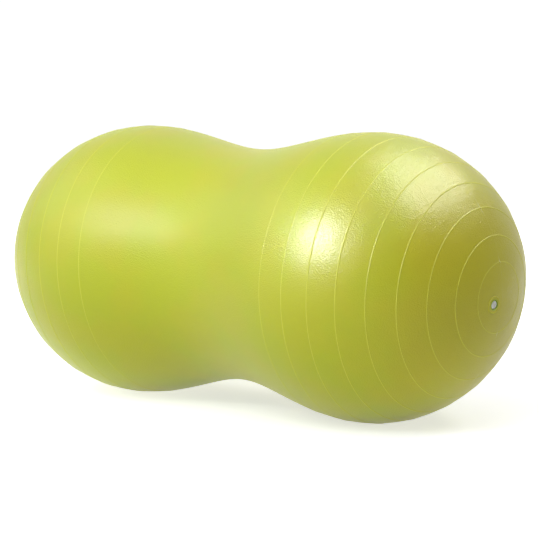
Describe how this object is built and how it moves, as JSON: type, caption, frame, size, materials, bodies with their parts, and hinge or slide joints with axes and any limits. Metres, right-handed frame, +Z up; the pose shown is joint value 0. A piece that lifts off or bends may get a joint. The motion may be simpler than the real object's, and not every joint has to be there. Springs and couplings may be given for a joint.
{
  "type": "peanut exercise ball",
  "caption": "Inflatable peanut-shaped exercise ball with round lobes, a shallow waist, fine raised rings and a push-in stopper in its end.",
  "frame": {"origin": "on the floor, under the middle of the ball", "axes": "+X along the long axis towards the valve end, +Z up, +Y to the left of someone who looks along +X"},
  "size_m": [0.9002, 0.43, 0.4271],
  "materials": {
    "skin": "satin soft PVC with a fine pebble grain, lime green",
    "valve_seat": "soft PVC, slightly darker green",
    "stopper": "satin off-white plastic"
  },
  "bodies": {
    "ball": {"ball_shell": "skin", "valve_insert": "valve_seat"},
    "stopper": {"valve_plug": "stopper"}
  },
  "joints": [
    {"name": "stopper_pull", "type": "slide", "parent": "ball", "child": "stopper", "axis": [0.989, -0.0863, -0.1199], "range_m": [0, 0.036]}
  ]
}
